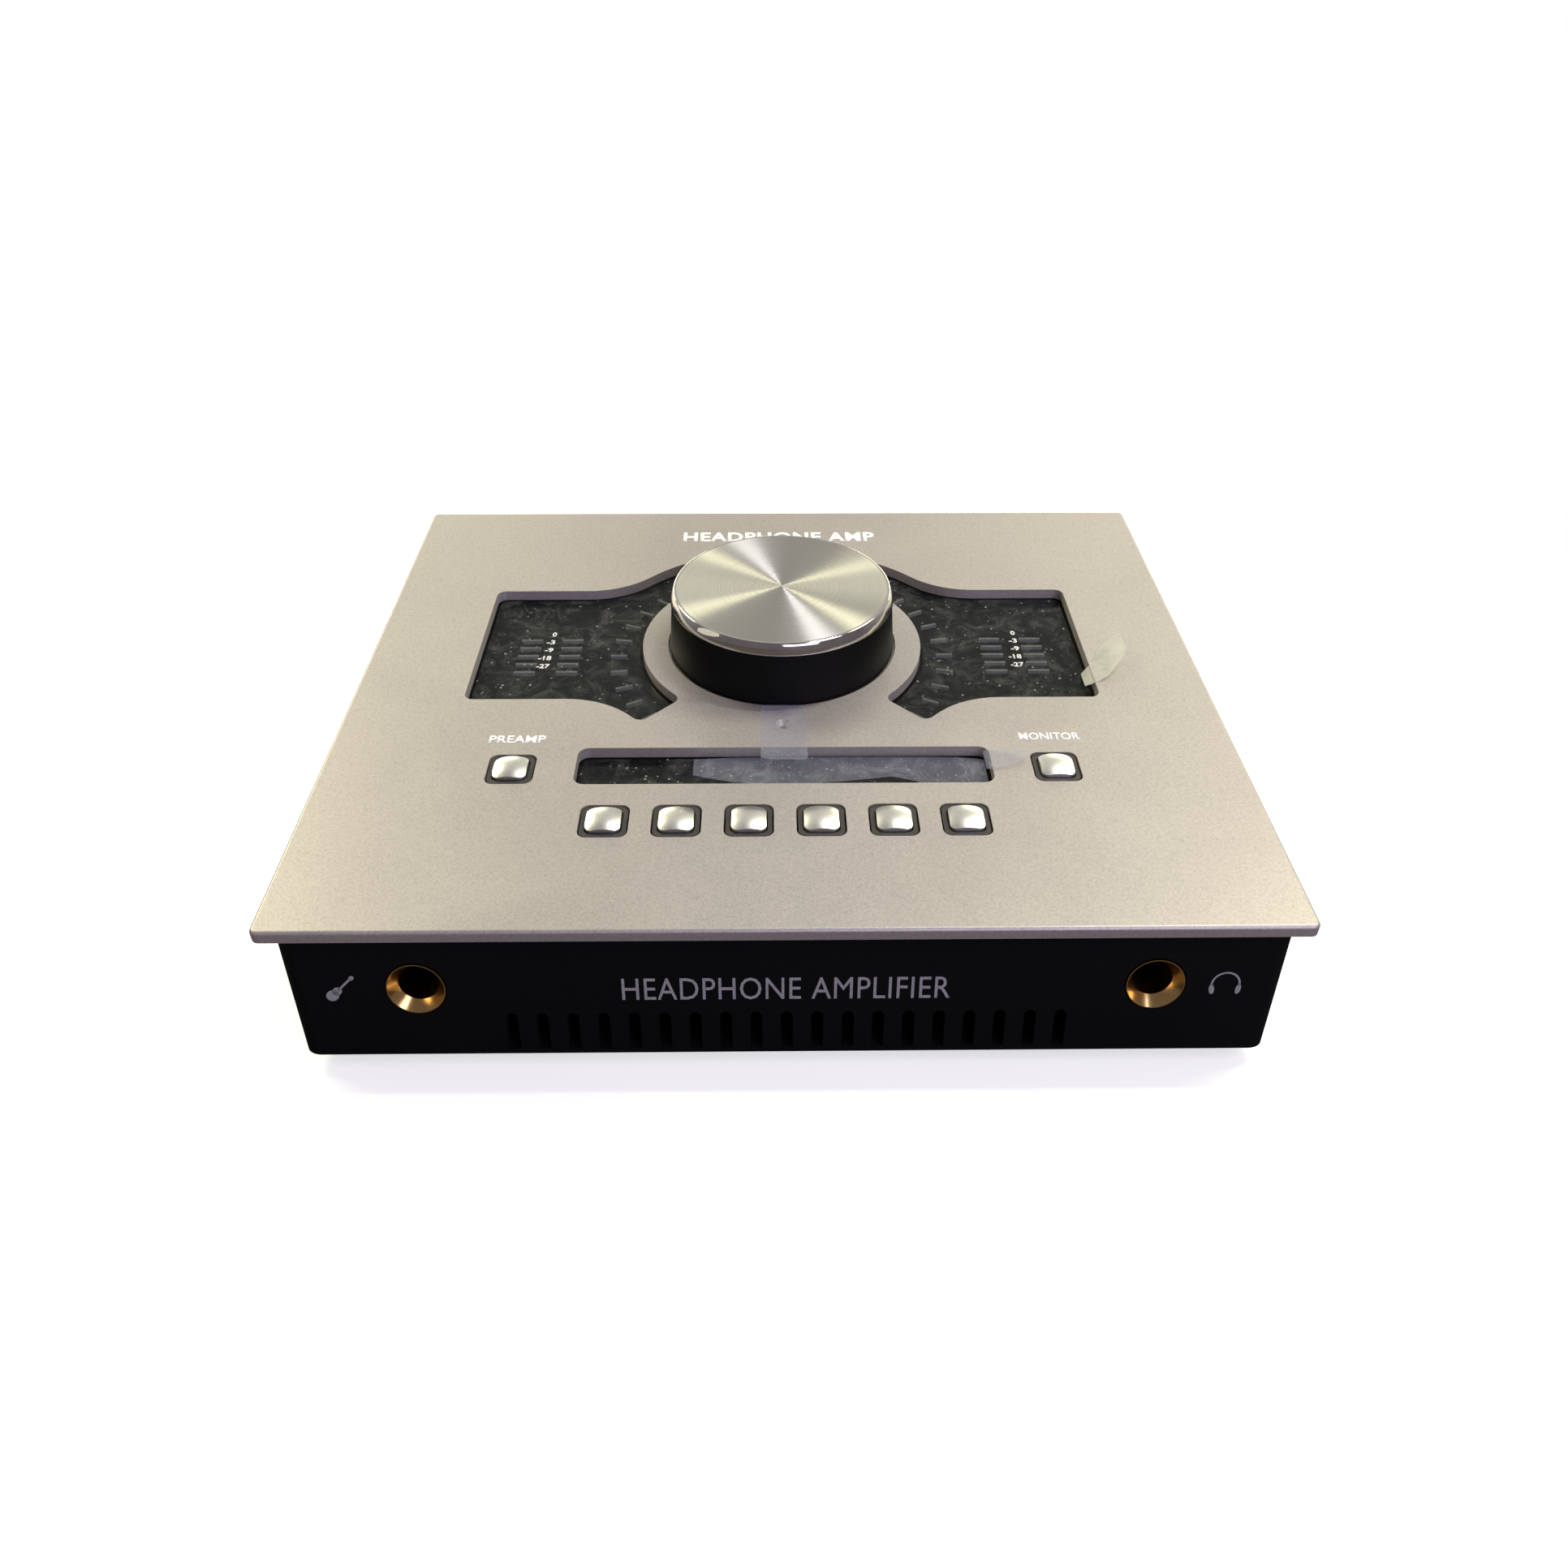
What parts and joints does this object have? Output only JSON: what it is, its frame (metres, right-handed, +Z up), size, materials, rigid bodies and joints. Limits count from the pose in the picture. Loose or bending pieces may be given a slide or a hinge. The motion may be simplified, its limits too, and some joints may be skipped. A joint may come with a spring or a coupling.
{
  "type": "headphone amplifier",
  "caption": "Desktop headphone amplifier: tilted metal deck with large level knob, meter windows, display and push buttons on a tapered black tray with front sockets.",
  "frame": {"origin": "on the floor, at the middle of the bounding box's underside", "axes": "+X to the right seen from the front, +Y towards the back, +Z up; front faces -Y"},
  "size_m": [0.1614, 0.1458, 0.066],
  "materials": {
    "deck_paint": "fine metallic taupe paint, satin",
    "tray_paint": "satin black paint",
    "black_plastic": "moulded, matte",
    "smoked_lens": "smoked clear plastic, polished",
    "screen": "dark glass display",
    "light_guide": "milky clear plastic",
    "button_metal": "silver satin finish",
    "bezel_grey": "dark grey moulding",
    "knob_black": "matte black",
    "knob_aluminium": "spun face with a polished bevel",
    "brass": "machined",
    "gold_plate": "gold plated",
    "steel": "machined steel",
    "nickel": "nickel plated",
    "board_green": "solder mask over fibreglass",
    "chip_black": "moulded epoxy",
    "sink_aluminium": "anodised",
    "ribbon_grey": "flat cable",
    "foot_rubber": "matte rubber"
  },
  "bodies": {
    "case": {"board_spacers": "brass", "button_bezels": "bezel_grey", "button_switches": "black_plastic", "case_screws": "steel", "chassis_tray": "tray_paint", "connector_board": "board_green", "display_lens": "smoked_lens", "display_module": "screen", "encoder_body": "black_plastic", "encoder_bushing": "nickel", "encoder_nut": "nickel", "encoder_washer": "steel", "feet": "foot_rubber", "headphone_jack_body": "black_plastic", "headphone_jack_bushing": "gold_plate", "heat_sinks": "sink_aluminium", "instrument_jack_body": "black_plastic", "instrument_jack_bushing": "gold_plate", "left_combo_insert": "black_plastic", "left_combo_socket": "black_plastic", "left_light_guides": "light_guide", "left_meter_lens": "smoked_lens", "lens_carrier": "black_plastic", "line_jack_nuts": "nickel", "line_jacks": "black_plastic", "main_board": "board_green", "optical_socket": "black_plastic", "panel_screws": "steel", "power_capacitors": "chip_black", "power_inlet": "black_plastic", "power_switch_frame": "black_plastic", "processor_chips": "chip_black", "rear_panel": "tray_paint", "ribbon_cable": "ribbon_grey", "right_combo_insert": "black_plastic", "right_combo_socket": "black_plastic", "right_light_guides": "light_guide", "right_meter_lens": "smoked_lens", "talkback_mic": "steel", "top_plate": "deck_paint", "ui_board": "board_green", "usb_socket": "nickel"},
    "encoder_core": {"encoder_plunger": "black_plastic"},
    "knob": {"knob_skirt": "knob_black", "knob_cap": "knob_aluminium", "knob_hub": "brass", "encoder_shaft": "steel"},
    "left_latch": {"left_combo_latch": "nickel"},
    "right_latch": {"right_combo_latch": "nickel"},
    "optical_flap": {"optical_flap": "bezel_grey"},
    "power_rocker": {"power_rocker": "black_plastic"},
    "preamp_button": {"preamp_button": "button_metal"},
    "monitor_button": {"monitor_button": "button_metal"},
    "option_button_1": {"option_button_1": "button_metal"},
    "option_button_2": {"option_button_2": "button_metal"},
    "option_button_3": {"option_button_3": "button_metal"},
    "option_button_4": {"option_button_4": "button_metal"},
    "option_button_5": {"option_button_5": "button_metal"},
    "option_button_6": {"option_button_6": "button_metal"}
  },
  "joints": [
    {"name": "knob_press", "type": "slide", "parent": "case", "child": "encoder_core", "axis": [0, 0.2504, -0.9681], "range_m": [0, 0.0005], "stiffness_N_per_m": 2500, "springref_m": -0.0008},
    {"name": "knob_turn", "type": "hinge", "parent": "encoder_core", "child": "knob", "pos_m": [0, 0.00408, 0.05352], "axis": [0, -0.2504, 0.9681], "continuous": true},
    {"name": "preamp_button_press", "type": "slide", "parent": "case", "child": "preamp_button", "axis": [0, 0.2504, -0.9681], "range_m": [0, 0.0006], "stiffness_N_per_m": 400, "springref_m": -0.0006},
    {"name": "monitor_button_press", "type": "slide", "parent": "case", "child": "monitor_button", "axis": [0, 0.2504, -0.9681], "range_m": [0, 0.0006], "stiffness_N_per_m": 400, "springref_m": -0.0006},
    {"name": "option_button_1_press", "type": "slide", "parent": "case", "child": "option_button_1", "axis": [0, 0.2504, -0.9681], "range_m": [0, 0.0006], "stiffness_N_per_m": 400, "springref_m": -0.0006},
    {"name": "option_button_2_press", "type": "slide", "parent": "case", "child": "option_button_2", "axis": [0, 0.2504, -0.9681], "range_m": [0, 0.0006], "stiffness_N_per_m": 400, "springref_m": -0.0006},
    {"name": "option_button_3_press", "type": "slide", "parent": "case", "child": "option_button_3", "axis": [0, 0.2504, -0.9681], "range_m": [0, 0.0006], "stiffness_N_per_m": 400, "springref_m": -0.0006},
    {"name": "option_button_4_press", "type": "slide", "parent": "case", "child": "option_button_4", "axis": [0, 0.2504, -0.9681], "range_m": [0, 0.0006], "stiffness_N_per_m": 400, "springref_m": -0.0006},
    {"name": "option_button_5_press", "type": "slide", "parent": "case", "child": "option_button_5", "axis": [0, 0.2504, -0.9681], "range_m": [0, 0.0006], "stiffness_N_per_m": 400, "springref_m": -0.0006},
    {"name": "option_button_6_press", "type": "slide", "parent": "case", "child": "option_button_6", "axis": [0, 0.2504, -0.9681], "range_m": [0, 0.0006], "stiffness_N_per_m": 400, "springref_m": -0.0006},
    {"name": "left_latch_press", "type": "slide", "parent": "case", "child": "left_latch", "axis": [0, -0.9681, -0.2504], "range_m": [0, 0.0012], "stiffness_N_per_m": 400, "springref_m": -0.001},
    {"name": "right_latch_press", "type": "slide", "parent": "case", "child": "right_latch", "axis": [0, -0.9681, -0.2504], "range_m": [0, 0.0012], "stiffness_N_per_m": 400, "springref_m": -0.001},
    {"name": "power_rocker_tilt", "type": "hinge", "parent": "case", "child": "power_rocker", "pos_m": [0.057, 0.0627, 0.03873], "axis": [-1, 0, 0], "range_deg": [0, 16]},
    {"name": "optical_flap_swing", "type": "hinge", "parent": "case", "child": "optical_flap", "pos_m": [0.039, 0.05764, 0.04113], "axis": [-1, 0, 0], "range_deg": [0, 80], "stiffness_Nm_per_rad": 0.0004, "springref_deg": -11.46}
  ]
}
